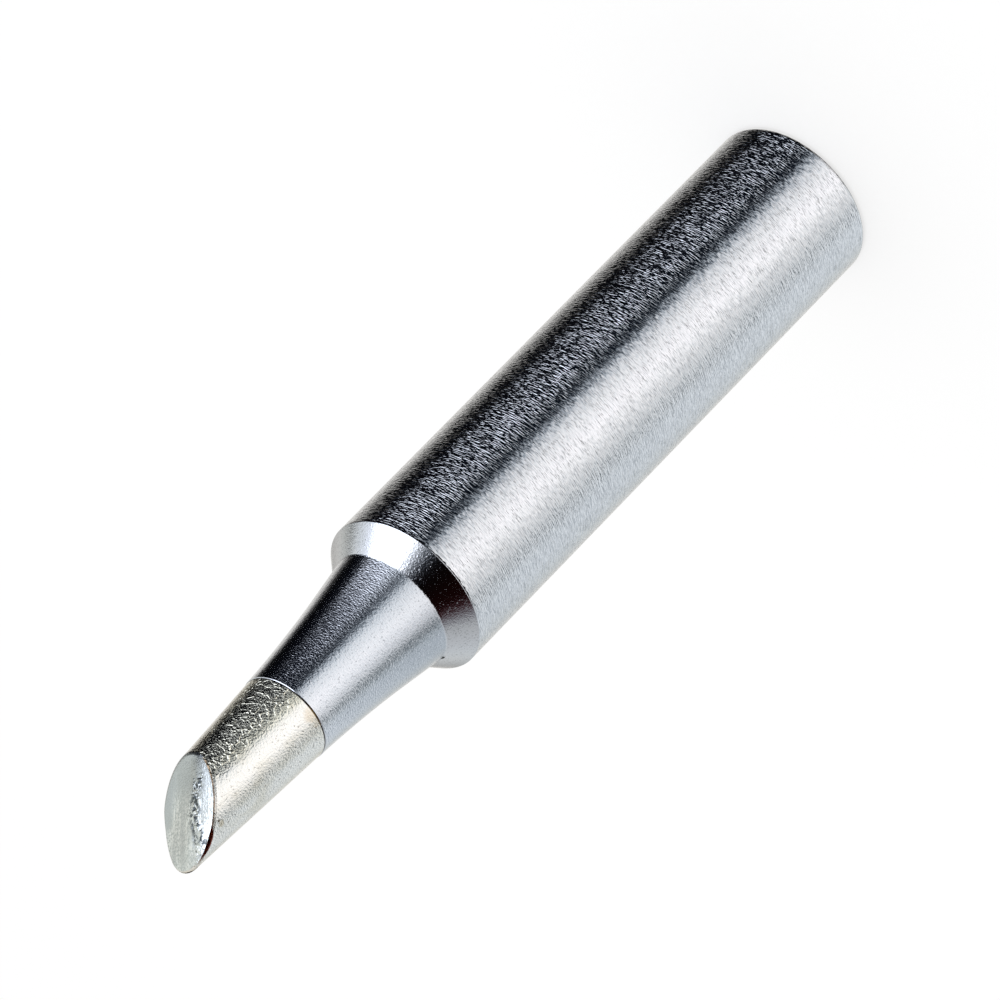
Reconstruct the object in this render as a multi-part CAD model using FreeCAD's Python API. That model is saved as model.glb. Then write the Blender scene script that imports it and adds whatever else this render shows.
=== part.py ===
import FreeCAD, Part
import math
import os

# Soldering iron tip with a slanted working face: one copper bar, turned, drilled and plated.
# Millimetres. The origin is the centre of the rear ring face, on which the tip stands.
# +Z runs along the axis to the working end, and the slanted face looks towards -Y and up.
# Lengths along the axis follow one another from the rear face: barrel, shoulder, nose, tinned end.

# Barrel, which slides into the iron's retaining sleeve
barrel_diameter = 6.5
barrel_length = 24.1
rear_edge_round = 0.25

# Blind bore for the heater rod, whose full width ends a little behind the shoulder
heater_bore_diameter = 4.2
bore_end_inset = 0.7
bore_mouth_chamfer = 0.2
drill_point_angle = 118.0

# Shoulder, the chamfered ring that the retaining nut pulls on
shoulder_length = 0.92
shoulder_edge_round = 0.05

# Nose, a steep cone and a slender one, blended by an arc that reaches equally far over both
nose_root_diameter = 4.92
nose_root_round = 0.2
root_taper_angle = 8.0
root_straight_length = 1.81
nose_blend_reach = 2.0
plated_straight_length = 0.37

# Tinned end: the plating stops at a small step, and the bare iron ahead of it is wetted with solder.
# Its diameter is the one at the centre of the slanted face, which lies tinned_length past the step.
plating_step = 0.02
tinned_length = 5.58
working_diameter = 3.03
face_angle = 45.0
face_edge_round = 0.12


def rounded_outline(corners):
    """Closed wire through corners given as (radius, height, rounding), with a tangent arc at each rounding."""
    points = [FreeCAD.Vector(radius, 0, height) for radius, height, _ in corners]
    entries = []
    exits = []
    edges = []
    for i, point in enumerate(points):
        before = (points[i - 1] - point).normalize()
        after = (points[(i + 1) % len(points)] - point).normalize()
        rounding = corners[i][2]
        if rounding == 0:
            entries.append(point)
            exits.append(point)
            continue
        half_angle = before.getAngle(after) / 2
        setback = rounding / math.tan(half_angle)
        centre_distance = rounding / math.sin(half_angle)
        middle = point + (before + after).normalize() * (centre_distance - rounding)
        entries.append(point + before * setback)
        exits.append(point + after * setback)
        edges.append(Part.Arc(entries[-1], middle, exits[-1]).toShape())
    for i, start in enumerate(exits):
        edges.append(Part.LineSegment(start, entries[(i + 1) % len(entries)]).toShape())
    return Part.Wire(Part.__sortEdges__(edges))


def turned_blank(face_centre_height):
    """The whole tip before its end is cut off slanting: outside, bore and drill point in one revolved section."""
    barrel_radius = barrel_diameter / 2
    bore_radius = heater_bore_diameter / 2
    root_radius = nose_root_diameter / 2
    working_radius = working_diameter / 2

    # Where the two cones would meet if the blend didn't round that corner
    root_height = barrel_length + shoulder_length
    corner_height = root_height + root_straight_length + nose_blend_reach
    root_slope = math.tan(math.radians(root_taper_angle))
    corner_radius = root_radius - (corner_height - root_height) * root_slope
    end_slope = (corner_radius - working_radius) / (face_centre_height - corner_height)
    blend_turn = math.atan(root_slope) - math.atan(end_slope)
    blend_radius = nose_blend_reach / math.tan(blend_turn / 2)

    step_height = corner_height + nose_blend_reach + plated_straight_length
    step_radius = corner_radius - (step_height - corner_height) * end_slope
    bar_end = face_centre_height + working_diameter
    bar_end_radius = working_radius - working_diameter * end_slope

    bore_depth = barrel_length - bore_end_inset
    drill_point_length = bore_radius / math.tan(math.radians(drill_point_angle / 2))

    corners = [
        (bore_radius + bore_mouth_chamfer, 0, 0),
        (barrel_radius, 0, rear_edge_round),
        (barrel_radius, barrel_length, shoulder_edge_round),
        (root_radius, root_height, nose_root_round),
        (corner_radius, corner_height, blend_radius),
        (step_radius, step_height, 0),
        (step_radius - plating_step, step_height + plating_step, 0),
        (bar_end_radius, bar_end, 0),
        (0, bar_end, 0),
        (0, bore_depth + drill_point_length, 0),
        (bore_radius, bore_depth, 0),
        (bore_radius, bore_mouth_chamfer, 0),
    ]
    section = Part.Face(rounded_outline(corners))
    return section.revolve(FreeCAD.Vector(0, 0, 0), FreeCAD.Vector(0, 0, 1), 360)


def cut_slanting(blank, face_centre_height):
    """Cuts the bar off along the slanted working face."""
    reach = 2 * (barrel_diameter + working_diameter)
    waste = Part.makeBox(2 * reach, 2 * reach, reach, FreeCAD.Vector(-reach, -reach, 0))
    waste.rotate(FreeCAD.Vector(0, 0, 0), FreeCAD.Vector(1, 0, 0), 90 - face_angle)
    waste.translate(FreeCAD.Vector(0, 0, face_centre_height))
    return blank.cut(waste)


def slanted_face(tip):
    """The flat face that looks most nearly the way the slanted cut does."""
    slant = math.radians(face_angle)
    outward = FreeCAD.Vector(0, -math.cos(slant), math.sin(slant))
    flat_faces = [face for face in tip.Faces if isinstance(face.Surface, Part.Plane)]
    return max(flat_faces, key=lambda face: abs(face.Surface.Axis.dot(outward)))


def soldering_tip():
    plated_length = root_straight_length + 2 * nose_blend_reach + plated_straight_length
    face_centre_height = barrel_length + shoulder_length + plated_length + tinned_length
    tip = cut_slanting(turned_blank(face_centre_height), face_centre_height)
    return tip.makeFillet(face_edge_round, slanted_face(tip).Edges).removeSplitter()


tip = soldering_tip()
os.makedirs("parts", exist_ok=True)
tip.exportStep("parts/soldering_tip.step")
print("soldering_tip", "valid", tip.isValid(), "solids", len(tip.Solids), "volume mm3", round(tip.Volume, 3))
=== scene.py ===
from math import cos, pi, radians, sin, sqrt, tan

import bmesh
import bpy
from mathutils import Matrix, Vector, noise


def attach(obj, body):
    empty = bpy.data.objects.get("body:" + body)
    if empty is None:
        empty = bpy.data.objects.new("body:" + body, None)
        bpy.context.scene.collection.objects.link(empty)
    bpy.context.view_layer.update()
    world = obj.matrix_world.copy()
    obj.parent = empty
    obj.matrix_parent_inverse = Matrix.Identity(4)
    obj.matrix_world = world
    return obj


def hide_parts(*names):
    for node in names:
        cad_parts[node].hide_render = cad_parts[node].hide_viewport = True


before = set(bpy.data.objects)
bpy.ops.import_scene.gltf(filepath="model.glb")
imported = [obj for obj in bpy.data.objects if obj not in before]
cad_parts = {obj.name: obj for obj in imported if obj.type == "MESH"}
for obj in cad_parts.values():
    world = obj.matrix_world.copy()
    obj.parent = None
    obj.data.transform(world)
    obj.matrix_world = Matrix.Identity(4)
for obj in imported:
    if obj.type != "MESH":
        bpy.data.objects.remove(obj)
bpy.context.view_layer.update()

# Camera
# A long lens a third of a metre away looks down past the working end, and is rolled so that the tip
# points to the lower left.
mm = 0.001
camera_aim = Vector((-0.27, -0.05, 18.6)) * mm
camera_distance = 326.9 * mm
camera_azimuth = radians(-68.92)
camera_elevation = radians(33.32)
camera_roll = radians(-135.64)

camera_data = bpy.data.cameras.new("camera")
camera_data.sensor_width = 36.0
camera_data.lens = 331.1
camera_data.clip_start = 10 * mm
camera = bpy.data.objects.new("camera", camera_data)
turn = Matrix.Rotation(camera_azimuth, 4, "Z") @ Matrix.Rotation(pi / 2 - camera_elevation, 4, "X")
turn = turn @ Matrix.Rotation(camera_roll, 4, "Z")
camera.matrix_world = Matrix.Translation(camera_aim) @ turn @ Matrix.Translation((0, 0, camera_distance))
bpy.context.scene.collection.objects.link(camera)
bpy.context.scene.camera = camera
bpy.context.scene.view_settings.view_transform = "Standard"


# Studio
# An even white dome lights the floor. Metal sees the photographer's cards instead: four rings of them,
# one above another, with a dark gap on the side that each ring leaves open.
def linear(hex_colour, strength=1.0):
    """An sRGB hex colour as linear red, green, blue and alpha."""
    channels = [int(hex_colour[i:i + 2], 16) / 255 for i in (1, 3, 5)]
    plain = [c / 12.92 if c <= 0.04045 else ((c + 0.055) / 1.055) ** 2.4 for c in channels]
    return [strength * c for c in plain] + [1.0]


def add_node(tree, kind, inputs=None, **settings):
    """Adds a node, sets its properties, and sets its inputs or links them to other nodes' outputs."""
    made = tree.nodes.new(kind)
    for name, value in settings.items():
        setattr(made, name, value)
    for name, value in (inputs or {}).items():
        if isinstance(value, bpy.types.NodeSocket):
            tree.links.new(value, made.inputs[name])
        else:
            made.inputs[name].default_value = value
    return made


# Each card has its place round the ring in degrees, its colour and its brightness.
low_cards = [
    (31, "#ECEAE6", 1.00), (352, "#ECEAE6", 1.00), (343, "#8A8886", 1.00), (335, "#131416", 1.00),
    (320, "#060607", 1.00), (290, "#06070A", 1.00), (236, "#0B1017", 1.00), (229, "#141C26", 1.00),
    (224, "#A9B2BC", 1.00), (214, "#E8E9ED", 1.00), (198, "#FFFEFF", 1.07), (176, "#FFFCFE", 1.30),
    (160, "#FFFEFE", 1.18), (146, "#F4F4F4", 1.00), (132, "#EAEEF0", 1.00), (104, "#EEF4F9", 1.00),
    (77, "#E6ECF1", 1.00), (53, "#D8DCDB", 1.00),
]
middle_cards = [
    (31, "#B4B4B2", 1.00), (350, "#C4C2BE", 1.00), (339, "#807E7C", 1.00), (330, "#141416", 1.00),
    (320, "#060608", 1.00), (300, "#0C0D14", 1.00), (262, "#181C28", 1.00), (233, "#141A26", 1.00),
    (223, "#222C38", 1.00), (216, "#A8B4BE", 1.00), (208, "#E6EEF4", 1.00), (199, "#F6FBFF", 1.02),
    (180, "#FBFDFF", 1.09), (165, "#F6F9FD", 1.00), (155, "#E0E4E9", 1.00), (145, "#C4CACE", 1.00),
    (138, "#626C72", 1.00), (129, "#545E64", 1.00), (121, "#A0AAB0", 1.00), (108, "#ACB5BD", 1.00),
    (80, "#B2BBC2", 1.00), (50, "#B4B8BA", 1.00),
]
upper_cards = [
    (31, "#D8D8D4", 1.00), (350, "#D2D2CE", 1.00), (340, "#C4C6C2", 1.00), (324, "#16181C", 1.00),
    (304, "#12161C", 1.00), (294, "#4E5660", 1.00), (285, "#EAF1FF", 1.95), (248, "#EAF1FF", 2.05),
    (236, "#E6EEF8", 1.20), (226, "#50565E", 1.00), (219, "#A0A6AE", 1.00), (206, "#E0E2E6", 1.00),
    (176, "#FFFEFF", 1.05), (146, "#D4D2D4", 1.00), (131, "#C0C4C8", 1.00), (108, "#CCD2D8", 1.00),
    (80, "#CCD2D6", 1.00),
]
high_cards = [
    (31, "#DCDAD6", 1.00), (344, "#DADEDA", 1.00), (330, "#ECF0EE", 1.00), (310, "#E2E8EE", 1.00),
    (298, "#EEF4FF", 1.10), (286, "#EAF1FF", 2.60), (248, "#EAF1FF", 2.80), (238, "#F4F8FF", 1.20),
    (229, "#A4AAB2", 1.00), (220, "#4A4E56", 1.00), (209, "#121316", 1.00), (194, "#080505", 1.00),
    (142, "#140505", 1.00), (131, "#40262A", 1.00), (120, "#7E7E84", 1.00), (106, "#B4B7B9", 1.00),
    (84, "#C0C3C6", 1.00),
]
brightest_card = 3.0
# Each ring starts and ends at this many degrees. It fades over to the ring above it between its own top
# and the foot of that ring.
cards_join = 31
low_cards_top = radians(-31)
middle_cards_foot = radians(-23)
middle_cards_top = radians(-18)
upper_cards_foot = radians(-5)
upper_cards_top = radians(0)
high_cards_foot = radians(13)
# Towards straight below the low cards fade to a small share of their light.
cards_end_below = radians(-66)
dark_below = radians(-80)
share_below = 0.1
dome_strength = 0.8

world = bpy.data.worlds.new("studio")
bpy.context.scene.world = world
world.use_nodes = True
# Only rays that leave a surface look the world up, so that metal and floor each get their own answer.
world.cycles.sampling_method = "NONE"
sky = world.node_tree
sky.nodes.clear()
direction = add_node(sky, "ShaderNodeTexCoord").outputs["Generated"]
split = add_node(sky, "ShaderNodeSeparateXYZ", {"Vector": direction})
azimuth = add_node(sky, "ShaderNodeMath", {0: split.outputs["Y"], 1: split.outputs["X"]}, operation="ARCTAN2")
past_join = add_node(sky, "ShaderNodeMath", {0: azimuth.outputs[0], 1: -radians(cards_join)}, operation="ADD")
turns = add_node(sky, "ShaderNodeMath", {0: past_join.outputs[0], 1: 2 * pi}, operation="DIVIDE")
around = add_node(sky, "ShaderNodeMath", {0: turns.outputs[0]}, operation="FRACT")
rings = []
for cards in (low_cards, middle_cards, upper_cards, high_cards):
    ring = add_node(sky, "ShaderNodeValToRGB", {"Fac": around.outputs[0]})
    stops = ring.color_ramp
    stops.interpolation = "EASE"
    placed = sorted((((degrees_round - cards_join) % 360) / 360, colour, level)
                    for degrees_round, colour, level in cards)
    placed.append((1.0,) + placed[0][1:])
    stops.elements[0].color = linear(placed[0][1], placed[0][2] / brightest_card)
    stops.elements[1].color = linear(placed[-1][1], placed[-1][2] / brightest_card)
    for place, colour, level in placed[1:-1]:
        stops.elements.new(place).color = linear(colour, level / brightest_card)
    rings.append(ring.outputs["Color"])
elevation = add_node(sky, "ShaderNodeMath", {0: split.outputs["Z"]}, operation="ARCSINE").outputs[0]
card_colour = rings[0]
meetings = [(low_cards_top, middle_cards_foot, rings[1]), (middle_cards_top, upper_cards_foot, rings[2]),
            (upper_cards_top, high_cards_foot, rings[3])]
for top, foot, ring_above in meetings:
    above = add_node(sky, "ShaderNodeMapRange", {"Value": elevation, "From Min": top, "From Max": foot},
                     interpolation_type="SMOOTHSTEP")
    card_colour = add_node(sky, "ShaderNodeMix", {0: above.outputs[0], 6: card_colour, 7: ring_above},
                           data_type="RGBA").outputs[2]
card_strength = add_node(sky, "ShaderNodeMapRange", {"Value": elevation, "From Min": dark_below,
                         "From Max": cards_end_below, "To Min": share_below * brightest_card,
                         "To Max": brightest_card}, interpolation_type="SMOOTHSTEP")
card_light = add_node(sky, "ShaderNodeBackground", {"Color": card_colour,
                      "Strength": card_strength.outputs[0]})
dome_light = add_node(sky, "ShaderNodeBackground", {"Color": linear("#FFFFFF"), "Strength": dome_strength})
backdrop = add_node(sky, "ShaderNodeBackground", {"Color": linear("#FFFFFF"), "Strength": 1.0})
ray = add_node(sky, "ShaderNodeLightPath")
by_surface = add_node(sky, "ShaderNodeMixShader", {0: ray.outputs["Is Glossy Ray"], 1: dome_light.outputs[0],
                      2: card_light.outputs[0]})
by_ray = add_node(sky, "ShaderNodeMixShader", {0: ray.outputs["Is Camera Ray"], 1: by_surface.outputs[0],
                  2: backdrop.outputs[0]})
add_node(sky, "ShaderNodeOutputWorld", {"Surface": by_ray.outputs[0]})

# Lamp
# One wide round softbox hangs overhead and gives the tip its soft shadow on the floor. Metal sees the
# cards and not the lamp.
lamp_size = 0.5
lamp_place = Vector((0.05, 0.1, 0.6))
lamp_watts = 1.2

lamp_data = bpy.data.lights.new("overhead_softbox", "AREA")
lamp_data.shape = "DISK"
lamp_data.size = lamp_size
lamp_data.energy = lamp_watts
lamp = bpy.data.objects.new("overhead_softbox", lamp_data)
lamp.location = lamp_place
lamp.rotation_euler = lamp_place.to_track_quat("Z", "Y").to_euler()
lamp.visible_glossy = False
bpy.context.scene.collection.objects.link(lamp)

# Floor
# A sheet of matt white card. The camera sees it lit evenly as well, which leaves it white with a faint
# shadow round the tip, and white to its far edge. It isn't seen from beneath, so that the bore shows.
floor_size = 4.0
# The card lies a hair below the tip, so that the rear ring doesn't share a plane with it.
floor_gap = 0.02 * mm
card_reflects = 0.97
# The share of even light is least within the near distance and full beyond the far one.
least_even_share = 0.7
shadow_near = 20 * mm
shadow_far = 90 * mm

floor_mesh = bpy.data.meshes.new("floor")
floor_form = bmesh.new()
bmesh.ops.create_grid(floor_form, x_segments=1, y_segments=1, size=floor_size / 2)
bmesh.ops.translate(floor_form, verts=floor_form.verts[:], vec=(0, 0, -floor_gap))
floor_form.to_mesh(floor_mesh)
floor_form.free()
floor = bpy.data.objects.new("floor", floor_mesh)
floor.visible_glossy = False
bpy.context.scene.collection.objects.link(floor)
floor_paint = bpy.data.materials.new("matt_white_card")
floor_paint.use_nodes = True
paint = floor_paint.node_tree
paint.nodes.clear()
card_stock = add_node(paint, "ShaderNodeBsdfDiffuse", {"Color": linear("#FFFFFF", card_reflects)})
even_light = add_node(paint, "ShaderNodeEmission", {"Color": linear("#FFFFFF"), "Strength": 1.0})
seen = add_node(paint, "ShaderNodeLightPath").outputs["Is Camera Ray"]
floor_place = add_node(paint, "ShaderNodeTexCoord").outputs["Object"]
far_off = add_node(paint, "ShaderNodeVectorMath", {0: floor_place}, operation="LENGTH")
evenness = add_node(paint, "ShaderNodeMapRange", {"Value": far_off.outputs["Value"], "From Min": shadow_near,
                    "From Max": shadow_far, "To Min": least_even_share, "To Max": 1.0})
even_share = add_node(paint, "ShaderNodeMath", {0: seen, 1: evenness.outputs[0]}, operation="MULTIPLY")
card_mix = add_node(paint, "ShaderNodeMixShader", {0: even_share.outputs[0], 1: card_stock.outputs[0],
                    2: even_light.outputs[0]})
beneath = add_node(paint, "ShaderNodeNewGeometry").outputs["Backfacing"]
left_out = add_node(paint, "ShaderNodeBsdfTransparent")
floor_mix = add_node(paint, "ShaderNodeMixShader", {0: beneath, 1: card_mix.outputs[0],
                     2: left_out.outputs[0]})
add_node(paint, "ShaderNodeOutputMaterial", {"Surface": floor_mix.outputs[0]})
floor_mesh.materials.append(floor_paint)

# The tip
# One bar of copper, turned to a barrel, a chamfered shoulder and a slender nose, and drilled from
# behind for the heater. Its end is cut off slanting, then it is plated and the end dipped in solder.
barrel_radius = 3.25
barrel_length = 24.1
rear_edge_round = 0.25
bore_radius = 2.1
bore_depth = 23.4
bore_mouth_chamfer = 0.2
drill_point_angle = radians(118)
shoulder_length = 0.92
shoulder_edge_round = 0.05
root_radius = 2.46
root_round = 0.2
root_slope = tan(radians(8))
root_straight = 1.81
blend_reach = 2.0
plated_straight = 0.37
plating_step = 0.02
tinned_length = 5.58
working_radius = 1.515
face_slant = radians(45)
rim_width = 0.17
rim_steps = 4

root_height = barrel_length + shoulder_length
corner_height = root_height + root_straight + blend_reach
corner_radius = root_radius - (corner_height - root_height) * root_slope
tin_line = corner_height + blend_reach + plated_straight
face_centre = tin_line + tinned_length
end_slope = (corner_radius - working_radius) / (face_centre - corner_height)
tin_radius = corner_radius - (tin_line - corner_height) * end_slope
bar_end = face_centre + 2 * working_radius

# How finely the mesh is cut: round the bar, along the tinned end and on the slanted face
steps_around = 256
rings_along_end = 60
face_rings = 64
same_point = 0.0001 * mm


def turn_of(before, corner, after):
    """The angle by which an outline turns at a corner."""
    return (corner - before).angle(after - corner)


outline = [
    # radius, height, rounding, steps in the rounding
    (0, bore_depth + bore_radius / tan(drill_point_angle / 2), 0, 0),
    (bore_radius, bore_depth, 0, 0),
    (bore_radius, bore_mouth_chamfer, 0, 0),
    (bore_radius + bore_mouth_chamfer, 0, 0, 0),
    (barrel_radius, 0, rear_edge_round, 8),
    (barrel_radius, barrel_length, shoulder_edge_round, 3),
    (root_radius, root_height, root_round, 4),
    (corner_radius, corner_height, blend_reach, 24),
    (tin_radius, tin_line, 0, 0),
    (tin_radius - plating_step, tin_line + plating_step, 0, 0),
    (working_radius - (bar_end - face_centre) * end_slope, bar_end, 0, 0),
]
form = bmesh.new()
corners = [form.verts.new((radius * mm, 0, height * mm)) for radius, height, _, _ in outline]
places = [corner.co.copy() for corner in corners]
for start, end in zip(corners, corners[1:]):
    form.edges.new((start, end))
for i, (_, _, rounding, steps) in enumerate(outline):
    if not rounding:
        continue
    # The blend of the nose is given by its reach, and the other roundings by their radius.
    reach = rounding * mm
    if rounding != blend_reach:
        reach *= tan(turn_of(places[i - 1], places[i], places[i + 1]) / 2)
    bmesh.ops.bevel(form, geom=[corners[i]], affect="VERTICES", offset=reach, segments=steps, profile=0.5,
                    material=-1)
bmesh.ops.spin(form, geom=form.verts[:] + form.edges[:], cent=(0, 0, 0), axis=(0, 0, 1), angle=2 * pi,
               steps=steps_around, use_merge=True, use_duplicate=False)
bmesh.ops.remove_doubles(form, verts=form.verts[:], dist=same_point)

# The slanted cut, then rings along the tinned end that lean over from the tin line to the cut
outward = Vector((0, -cos(face_slant), sin(face_slant)))
face_middle = Vector((0, 0, face_centre * mm))
bmesh.ops.bisect_plane(form, geom=form.verts[:] + form.edges[:] + form.faces[:], dist=same_point,
                       plane_co=face_middle, plane_no=outward, clear_outer=True)
rim = [edge for edge in form.edges if edge.is_boundary]
along_end = [edge for edge in form.edges if edge.calc_length() > 2 * mm
             and min(v.co.z for v in edge.verts) > (tin_line + plating_step / 2) * mm]
bmesh.ops.subdivide_edges(form, edges=along_end, cuts=rings_along_end)

# The face fills the cut. Its edge is rolled over, and rings inside it shrink to its middle.
face = bmesh.ops.contextual_create(form, geom=rim)["faces"][0]
bmesh.ops.recalc_face_normals(form, faces=form.faces[:])
bmesh.ops.bevel(form, geom=face.edges[:], affect="EDGES", offset=rim_width * mm, offset_type="WIDTH",
                segments=rim_steps, profile=0.5, material=-1, clamp_overlap=False, loop_slide=True)
face = max(form.faces, key=lambda f: len(f.verts))
on_face = set(face.verts)
for ring in range(face_rings):
    shrink = (face_rings - ring - 0.5) / (face_rings - ring + 0.5)
    bmesh.ops.inset_individual(form, faces=[face], thickness=0)
    bmesh.ops.scale(form, vec=(shrink,) * 3, space=Matrix.Translation(-face_middle), verts=face.verts[:])
    on_face.update(face.verts)
on_face.update(bmesh.ops.poke(form, faces=[face])["verts"])
bmesh.ops.recalc_face_normals(form, faces=form.faces[:])


def smooth_rise(value, low, high):
    """0 below low, 1 above high, and an S between them."""
    share = min(max((value - low) / (high - low), 0), 1)
    return share * share * (3 - 2 * share)


# Solder stands on the face in a low pool with a crisp edge at -X, and its skin is crinkled beside the
# slope. The opposite edge is worn lower towards the long point. Places are in mm from the face's middle.
uphill = Vector((0, sin(face_slant), cos(face_slant)))
pool_height = 0.19
pool_slope_width = 0.72
pool_half_width = 1.5
pool_half_length = 2.1
crinkle_depth = 0.042
crinkle_width = 0.26
crinkle_length = 0.14
worn_depth = 0.08
for point in form.verts:
    spot = (point.co - face_middle) / mm
    depth = -spot.dot(outward)
    if depth > rim_width:
        continue
    across = spot.x
    along = spot.dot(uphill)
    # The rolled edge is squared up again on the pool's side
    wall_radius = working_radius - spot.z * end_slope
    inside = max(across + sqrt(max(wall_radius ** 2 - spot.y ** 2, 0)), 0)
    crisp = smooth_rise(-across, 0.3, 0.9)
    if depth < inside:
        point.co += outward * depth * crisp * mm
    else:
        point.co.x -= inside * crisp * mm
        inside *= 1 - crisp
    # The pool rises steeply from that side, and falls away gently to the other side and to both ends
    slope_width = pool_slope_width * (1 - 0.5 * smooth_rise(along, 0.1, 0.8))
    rise = 1 - (1 - min(inside / slope_width, 1)) ** 1.15
    fall = 1 - smooth_rise(across, -0.6, 0.9)
    from_centre = sqrt((across / pool_half_width) ** 2 + (along / pool_half_length) ** 2)
    upper_end = smooth_rise(from_centre, 0.5, 1.1) * (1 - smooth_rise(-along, 0.0, 0.8))
    upper_end *= smooth_rise(across, -1.3, -0.5)
    lower_end = 0.8 * min(max(-along / 2.0, 0), 1) * smooth_rise(across, -1.2, 0.0)
    pool = pool_height * rise * fall * (1 - max(upper_end, lower_end))
    # The crinkles follow the top of the slope and stop short of both ends
    from_slope = across + 0.35 * smooth_rise(along, 0.1, 0.9)
    crinkled = smooth_rise(from_slope, -1.05, -0.75) * (1 - smooth_rise(from_slope, -0.55, -0.1))
    crinkled *= 1 - smooth_rise(abs(along), 1.2, 1.8)
    crinkled *= 0.7 + 1.2 * noise.noise(Vector((across / 0.3, along / 0.6, 5)), noise_basis="PERLIN_ORIGINAL")
    wrinkle = noise.fractal(Vector((across / crinkle_width, along / crinkle_length, 0)), 0.6, 2.0, 4,
                            noise_basis="PERLIN_ORIGINAL")
    worn = worn_depth * smooth_rise(across, 0.5, 1.35) * smooth_rise(along, -0.6, 0.5)
    worn *= 1 - smooth_rise(along, 1.3, 2.0)
    point.co += outward * (pool + crinkle_depth * crinkled * wrinkle - worn) * mm

# Each finish gets its own part of the bar. What faces nearly the way of the cut belongs to the pool.
barrel_plating, shoulder_plating, nose_plating, solder_coat, solder_pool, bare_copper = range(6)
faces_like_cut = 0.75
sharp_edge = radians(25)
form.normal_update()
for part in form.faces:
    part.smooth = True
    middle = part.calc_center_median() / mm
    radius = sqrt(middle.x ** 2 + middle.y ** 2)
    if middle.z < root_height and radius < bore_radius + bore_mouth_chamfer:
        part.material_index = bare_copper
    elif middle.z < barrel_length - shoulder_edge_round * 0.5:
        part.material_index = barrel_plating
    elif middle.z < root_height:
        part.material_index = shoulder_plating
    elif middle.z < tin_line + plating_step / 2:
        part.material_index = nose_plating
    elif all(point in on_face for point in part.verts) or part.normal.dot(outward) > faces_like_cut:
        part.material_index = solder_pool
    else:
        part.material_index = solder_coat

tip_mesh = bpy.data.meshes.new("bevel_tip")
form.to_mesh(tip_mesh)
form.free()
tip_mesh.set_sharp_from_angle(angle=sharp_edge)
tip = bpy.data.objects.new("bevel_tip", tip_mesh)
bpy.context.scene.collection.objects.link(tip)
even = tip.modifiers.new("even_shading", "WEIGHTED_NORMAL")
even.keep_sharp = True


def metal(name, colour, roughness):
    """A plain metal finish on the tip's next slot, and the surface node that grains and marks go into."""
    made = bpy.data.materials.new(name)
    made.use_nodes = True
    made.node_tree.nodes.clear()
    surface = add_node(made.node_tree, "ShaderNodeBsdfPrincipled", {"Base Color": linear(colour),
                       "Metallic": 1.0, "Roughness": roughness})
    add_node(made.node_tree, "ShaderNodeOutputMaterial", {"Surface": surface.outputs[0]})
    tip_mesh.materials.append(made)
    return made.node_tree, surface


def grain(tree, size, detail=1.0, leaning=0.0, ridged=False):
    """Noise on the tip whose cells have the given size in mm across, across and along, turned about X.
    Its values lie between 0 and 1, or between 0 and 1.5 where it is ridged."""
    place = add_node(tree, "ShaderNodeTexCoord").outputs["Object"]
    laid = add_node(tree, "ShaderNodeMapping", {"Vector": place, "Rotation": (leaning, 0, 0),
                    "Scale": [side * mm for side in size]}, vector_type="TEXTURE")
    inputs = {"Vector": laid.outputs[0], "Scale": 1.0, "Detail": detail, "Roughness": 0.5}
    if not ridged:
        return add_node(tree, "ShaderNodeTexNoise", inputs, noise_type="FBM", normalize=True).outputs[0]
    inputs["Offset"] = 1.0
    return add_node(tree, "ShaderNodeTexNoise", inputs, noise_type="RIDGED_MULTIFRACTAL",
                    normalize=False).outputs[0]


def patchy(tree, size, low, high, most=1.0, least=0.0, **look):
    """A share that goes from its least to its most as a grain of this size rises from low to high."""
    return add_node(tree, "ShaderNodeMapRange", {"Value": grain(tree, size, **look), "From Min": low,
                    "From Max": high, "To Min": least, "To Max": most}).outputs[0]


def place_in_mm(tree, origin=(0, 0, 0)):
    """Where a point of the tip lies, in mm from an origin that is given in mm too."""
    place = add_node(tree, "ShaderNodeTexCoord").outputs["Object"]
    return add_node(tree, "ShaderNodeMapping", {"Vector": place, "Location": [side * mm for side in origin],
                    "Scale": (mm, mm, mm)}, vector_type="TEXTURE").outputs[0]


def between(tree, value, low, high, soft, most=1.0):
    """A share that is at its most between two limits and fades out over a soft width beyond them."""
    off_middle = add_node(tree, "ShaderNodeMath", {0: value, 1: (low + high) / 2}, operation="SUBTRACT")
    away = add_node(tree, "ShaderNodeMath", {0: off_middle.outputs[0]}, operation="ABSOLUTE")
    return add_node(tree, "ShaderNodeMapRange", {"Value": away.outputs[0], "From Min": (high - low) / 2,
                    "From Max": (high - low) / 2 + soft, "To Min": most, "To Max": 0.0},
                    interpolation_type="SMOOTHSTEP").outputs[0]


def emboss(tree, surface, relief, depth):
    """Raises a relief of the given depth in mm on top of what the surface already has."""
    inputs = {"Height": relief, "Strength": 1.0, "Distance": depth * mm}
    if surface.inputs["Normal"].is_linked:
        inputs["Normal"] = surface.inputs["Normal"].links[0].from_socket
    tree.links.new(add_node(tree, "ShaderNodeBump", inputs).outputs[0], surface.inputs["Normal"])


def stain(tree, surface, colour, share):
    """Covers a share of the surface with another colour, on top of what it already has."""
    under = surface.inputs["Base Color"]
    inputs = {0: share, 6: under.links[0].from_socket if under.is_linked else under.default_value[:],
              7: linear(colour)}
    mixed = add_node(tree, "ShaderNodeMix", inputs, data_type="RGBA")
    tree.links.new(mixed.outputs[2], under)


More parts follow.
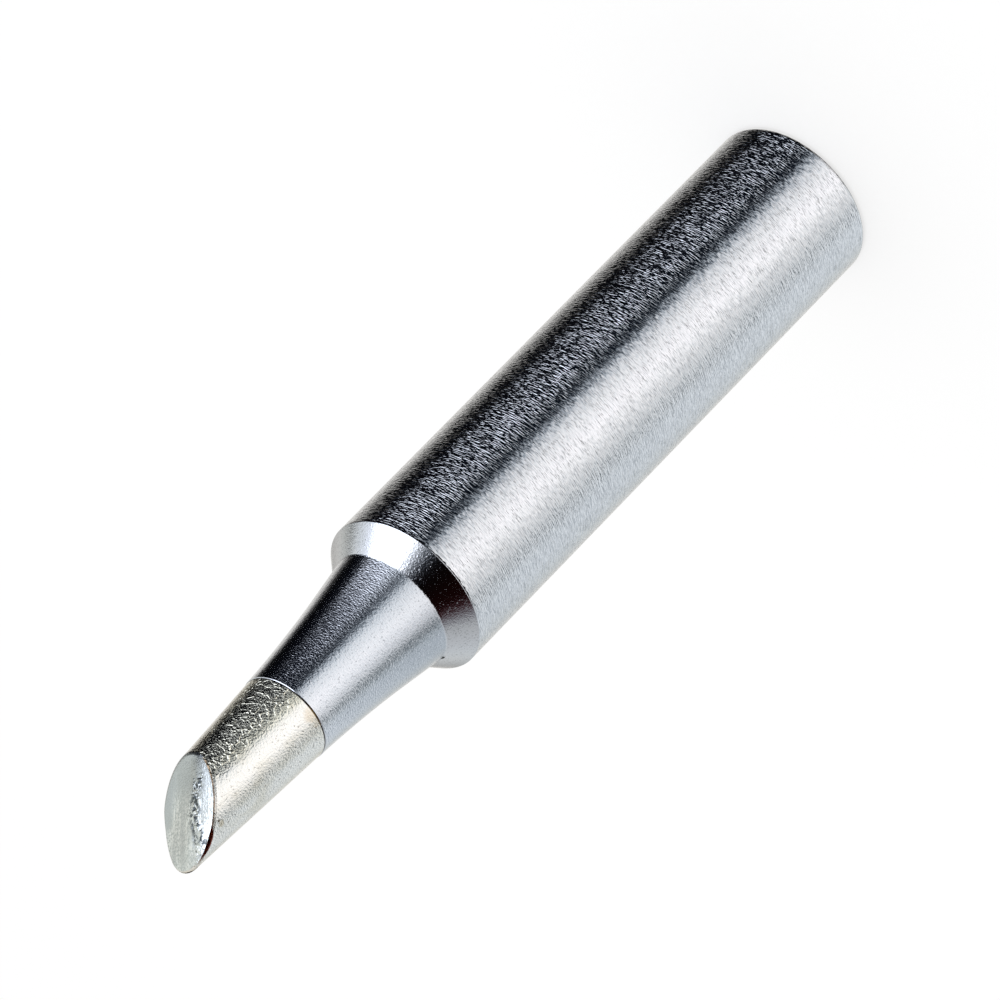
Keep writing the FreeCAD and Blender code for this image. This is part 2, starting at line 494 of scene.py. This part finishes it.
# Chrome over turning marks: short scratches run round the barrel and break its reflections into dashes.
# Real marks are finer still, and these are drawn one or two pixels wide so that they show.
tree, surface = metal("turned_chrome_plating", "#E6E7E9", 0.1)
turning_mark = (0.3, 0.3, 0.046)
emboss(tree, surface, grain(tree, turning_mark), 0.0275)
long_scratch = (0.45, 0.45, 0.03)
stain(tree, surface, "#8A8E94", patchy(tree, long_scratch, 0.54, 0.72, 0.55))
# A thin ring of painted shade darkens the rear edge
height = add_node(tree, "ShaderNodeSeparateXYZ", {"Vector": place_in_mm(tree)}).outputs["Z"]
sideways = add_node(tree, "ShaderNodeVectorMath", {0: place_in_mm(tree), 1: (1, 1, 0)}, operation="MULTIPLY")
off_axis = add_node(tree, "ShaderNodeVectorMath", {0: sideways.outputs[0]}, operation="LENGTH")
rear_edge_shade = add_node(tree, "ShaderNodeMath", {0: between(tree, height, -0.1, 0.09, 0.05),
                     1: between(tree, off_axis.outputs["Value"], 3.05, 3.4, 0.06)}, operation="MULTIPLY")
stain(tree, surface, "#4A4644", rear_edge_shade.outputs[0])
# A ragged dark line is painted along the edge of the plating at the shoulder, on one side of the tip
dark_line_side = (-0.292, -0.956, 0)
ragged = add_node(tree, "ShaderNodeMath", {0: grain(tree, (0.12, 0.12, 0.12), 2.0), 1: 0.16, 2: height},
                  operation="MULTIPLY_ADD").outputs[0]
toward_dark_line = add_node(tree, "ShaderNodeVectorMath", {0: place_in_mm(tree), 1: dark_line_side},
                       operation="DOT_PRODUCT")
at_edge = between(tree, ragged, barrel_length + 0.02, barrel_length + 0.2, 0.02)
on_side = between(tree, toward_dark_line.outputs["Value"], 0.6, 4.0, 0.9)
ragged_dark_line = add_node(tree, "ShaderNodeMath", {0: at_edge, 1: on_side}, operation="MULTIPLY")
stain(tree, surface, "#1C1614", ragged_dark_line.outputs[0])

# The shoulder had a lighter last cut, so its plating is nearly a mirror, with a slight orange peel and
# fine flecks and grey dots in it
tree, surface = metal("polished_chrome_plating", "#E8E9EC", 0.1)
emboss(tree, surface, grain(tree, (0.055, 0.055, 0.055), 2.0), 0.007)
fleck = (0.08, 0.08, 0.08)
emboss(tree, surface, patchy(tree, fleck, 0.62, 0.75, detail=2.0), 0.0035)
dot = (0.065, 0.065, 0.065)
stain(tree, surface, "#8C9092", patchy(tree, dot, 0.56, 0.72, 0.5))
# A small dark nick beside the root of the nose
nick_place = (-1.06, 2.24, 25.0)
off_nick = add_node(tree, "ShaderNodeVectorMath", {0: place_in_mm(tree, nick_place)}, operation="LENGTH")
stain(tree, surface, "#0A0808", between(tree, off_nick.outputs["Value"], -0.09, 0.09, 0.03))

# The nose is chrome over a finer cut, whose marks are too short to be seen as lines and leave it satin.
# They are drawn as grains a few pixels across, which is coarser than they are.
tree, surface = metal("fine_turned_chrome_plating", "#E4E6EA", 0.14)
emboss(tree, surface, grain(tree, (0.13, 0.13, 0.05), 2.0), 0.0098)
emboss(tree, surface, grain(tree, (0.06, 0.06, 0.06)), 0.005)
speck = (0.06, 0.06, 0.06)
stain(tree, surface, "#50565C", patchy(tree, speck, 0.6, 0.76, 0.6))

# Solder wets the end in a thin coat, a warmer and duller white than chrome, with fine ripples in it
tree, surface = metal("wiped_solder_tinning", "#FBF8F1", 0.22)
# A thin yellowish film of flux lies between -X and the side that the face looks to, where the coat is
# rougher as well
filmed_side = (-0.5, -0.866, 0)
toward_film = add_node(tree, "ShaderNodeVectorMath", {0: place_in_mm(tree), 1: filmed_side},
                       operation="DOT_PRODUCT")
filmed = between(tree, toward_film.outputs["Value"], 1.5, 2.0, 0.25)
ripples = add_node(tree, "ShaderNodeMath", {0: grain(tree, (0.075, 0.075, 0.075), 2.0), 1: 0.5},
                   operation="SUBTRACT")
ripple_share = add_node(tree, "ShaderNodeMath", {0: filmed, 1: 0.3, 2: 0.55}, operation="MULTIPLY_ADD")
uneven = add_node(tree, "ShaderNodeMath", {0: ripples.outputs[0], 1: ripple_share.outputs[0]},
                  operation="MULTIPLY")
emboss(tree, surface, uneven.outputs[0], 0.03)
# Short curved strokes are left in the film by the wiping, more of them in some places than in others
scoured_patch = (0.7, 0.7, 0.7)
scoured = add_node(tree, "ShaderNodeMath", {0: filmed, 1: patchy(tree, scoured_patch, 0.35, 0.6, least=0.35)},
                   operation="MULTIPLY")
stroke = (0.3, 0.3, 0.3)
emboss(tree, surface, patchy(tree, stroke, 1.0, 1.4, scoured.outputs[0], ridged=True), 0.019)
# Parts of the coat are duller, some patches are yellower, and dark pits are strewn over it
dull_patch = (0.7, 0.7, 0.7)
duller = patchy(tree, dull_patch, 0.4, 0.65, 0.25, 0.15, detail=3.0)
tree.links.new(duller, surface.inputs["Roughness"])
yellow_patch = (0.8, 0.8, 1.6)
stain(tree, surface, "#E2DAC4", patchy(tree, yellow_patch, 0.48, 0.7, 0.45, detail=2.0))
pit = (0.09, 0.09, 0.09)
stain(tree, surface, "#6E6458", patchy(tree, pit, 0.62, 0.7, 0.6, detail=2.0))
film = add_node(tree, "ShaderNodeMath", {0: filmed, 1: 0.8}, operation="MULTIPLY")
stain(tree, surface, "#F2EED8", film.outputs[0])
# Painted shade darkens the corner under the step of the plating
step_foot = tin_line + plating_step
above_rear = add_node(tree, "ShaderNodeSeparateXYZ", {"Vector": place_in_mm(tree)}).outputs["Z"]
stain(tree, surface, "#241E1A", between(tree, above_rear, step_foot - 0.02, step_foot + 0.04, 0.02))
# Burnt flux has run under the edge of the slanted face near its long point, with a thin tan line above it
from_face = place_in_mm(tree, face_middle / mm)
below_face = add_node(tree, "ShaderNodeVectorMath", {0: from_face, 1: -outward},
                      operation="DOT_PRODUCT").outputs["Value"]
up_face = add_node(tree, "ShaderNodeVectorMath", {0: from_face, 1: uphill},
                   operation="DOT_PRODUCT").outputs["Value"]
across_face = add_node(tree, "ShaderNodeSeparateXYZ", {"Vector": from_face}).outputs["X"]
tan_line = add_node(tree, "ShaderNodeMath", {0: between(tree, below_face, -0.03, 0.02, 0.03),
                    1: between(tree, across_face, -2.0, -0.9, 0.3, 0.8)}, operation="MULTIPLY")
stain(tree, surface, "#A8825A", tan_line.outputs[0])
flux_width = add_node(tree, "ShaderNodeMath", {0: between(tree, up_face, 0.85, 1.1, 0.55, 0.15),
                      1: between(tree, across_face, -2.0, -0.5, 0.3)}, operation="MULTIPLY")
over_edge = add_node(tree, "ShaderNodeMath", {0: flux_width.outputs[0], 1: below_face}, operation="SUBTRACT")
flux = add_node(tree, "ShaderNodeMapRange", {"Value": over_edge.outputs[0], "From Min": 0.0,
                "From Max": 0.02})
flux_on = add_node(tree, "ShaderNodeMath", {0: flux.outputs[0], 1: flux_width.outputs[0]},
                   operation="MULTIPLY")
# It covers the metal wherever it is over a thirtieth of a mm wide, and fades out at its thin ends
flux_cover = 30.0
flux_share = add_node(tree, "ShaderNodeMath", {0: flux_on.outputs[0], 1: flux_cover}, operation="MULTIPLY",
                      use_clamp=True)
stain(tree, surface, "#74301F", flux_share.outputs[0])
# Spots of flux and amber, each with its place and its size in mm, its colour and its strength
for place, size, colour, strength in [((-1.79, -0.1, 31.42), 0.35, "#C9A35E", 0.25),
                                      ((-1.77, 0.3, 31.3), 0.25, "#B79A66", 0.25),
                                      ((-1.48, 0.35, 36.76), 0.07, "#3C2A12", 0.9),
                                      ((-1.43, 0.52, 36.7), 0.18, "#C8B284", 0.5)]:
    away = add_node(tree, "ShaderNodeVectorMath", {0: from_face, 1: Vector(place) - face_middle / mm},
                    operation="DISTANCE")
    blotched = add_node(tree, "ShaderNodeMath", {0: grain(tree, (0.12, 0.12, 0.12), 2.0), 1: size,
                        2: away.outputs["Value"]}, operation="MULTIPLY_ADD")
    stain(tree, surface, colour, between(tree, blotched.outputs[0], 0.0, 0.9 * size, 0.6 * size, strength))

# The pool on the face was wiped along its length while it set, which leaves it satin with faint streaks
# and a fine grey frost
tree, surface = metal("satin_solder_pool", "#FFFFFA", 0.17)
streak = (0.05, 0.05, 0.9)
stain(tree, surface, "#CDD1CE", patchy(tree, streak, 0.42, 0.65, 0.7, detail=2.0, leaning=-face_slant))
frost = (0.085, 0.085, 0.085)
stain(tree, surface, "#A2AAA8", patchy(tree, frost, 0.46, 0.6, 0.55, detail=2.0))
emboss(tree, surface, grain(tree, (0.05, 0.05, 0.8), 1.0, -face_slant), 0.007)
emboss(tree, surface, grain(tree, (0.06, 0.06, 0.06), 2.0), 0.011)
# Painted shade darkens its lower end and its worn edge, and its skin is duller in broad soft streaks
dull_skin_and_painted_shade = "#C4C8C7"
on_face_place = place_in_mm(tree, face_middle / mm)
pool_across = add_node(tree, "ShaderNodeSeparateXYZ", {"Vector": on_face_place}).outputs["X"]
pool_along = add_node(tree, "ShaderNodeVectorMath", {0: on_face_place, 1: uphill},
                      operation="DOT_PRODUCT").outputs["Value"]
# Painted shade: the lower end and the worn edge are darker
stain(tree, surface, dull_skin_and_painted_shade, between(tree, pool_along, -3.0, -1.3, 1.2, 0.9))
worn_edge_shade = add_node(tree, "ShaderNodeMath", {0: between(tree, pool_along, -3.0, 0.1, 0.5, 0.9),
                     1: between(tree, pool_across, 1.1, 2.0, 0.35)}, operation="MULTIPLY")
stain(tree, surface, dull_skin_and_painted_shade, worn_edge_shade.outputs[0])
soft_streak = (0.4, 0.4, 2.4)
stain(tree, surface, dull_skin_and_painted_shade, patchy(tree, soft_streak, 0.4, 0.65, 0.5, leaning=-face_slant))
# Dark oxide has gathered in the crinkles beside the slope of the pool
slope_shift = add_node(tree, "ShaderNodeMapRange", {"Value": pool_along, "From Min": 0.1, "From Max": 0.9,
                       "To Max": 0.35})
beside_slope = add_node(tree, "ShaderNodeMath", {0: pool_across, 1: slope_shift.outputs[0]}, operation="ADD")
oxide_patch = (0.2, 0.2, 0.2)
in_crinkles = add_node(tree, "ShaderNodeMath", {0: patchy(tree, oxide_patch, 0.5, 0.57, detail=3.0),
                       1: between(tree, beside_slope.outputs[0], -0.75, -0.5, 0.35, 0.9)},
                       operation="MULTIPLY")
short_of_ends = add_node(tree, "ShaderNodeMath", {0: in_crinkles.outputs[0],
                         1: between(tree, pool_along, -1.1, 1.3, 0.3)}, operation="MULTIPLY")
stain(tree, surface, "#2C363E", short_of_ends.outputs[0])

# The drilled copper has a dull brown skin of oxide, with drill marks round it and darker patches
tree, surface = metal("oxidised_copper", "#8A5A44", 0.4)
drill_mark = (0.4, 0.4, 0.08)
emboss(tree, surface, grain(tree, drill_mark, 2.0), 0.02)
dark_patch = (0.9, 0.9, 0.5)
stain(tree, surface, "#5A3A30", patchy(tree, dark_patch, 0.45, 0.7, detail=3.0))

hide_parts("soldering_tip")
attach(tip, "root")
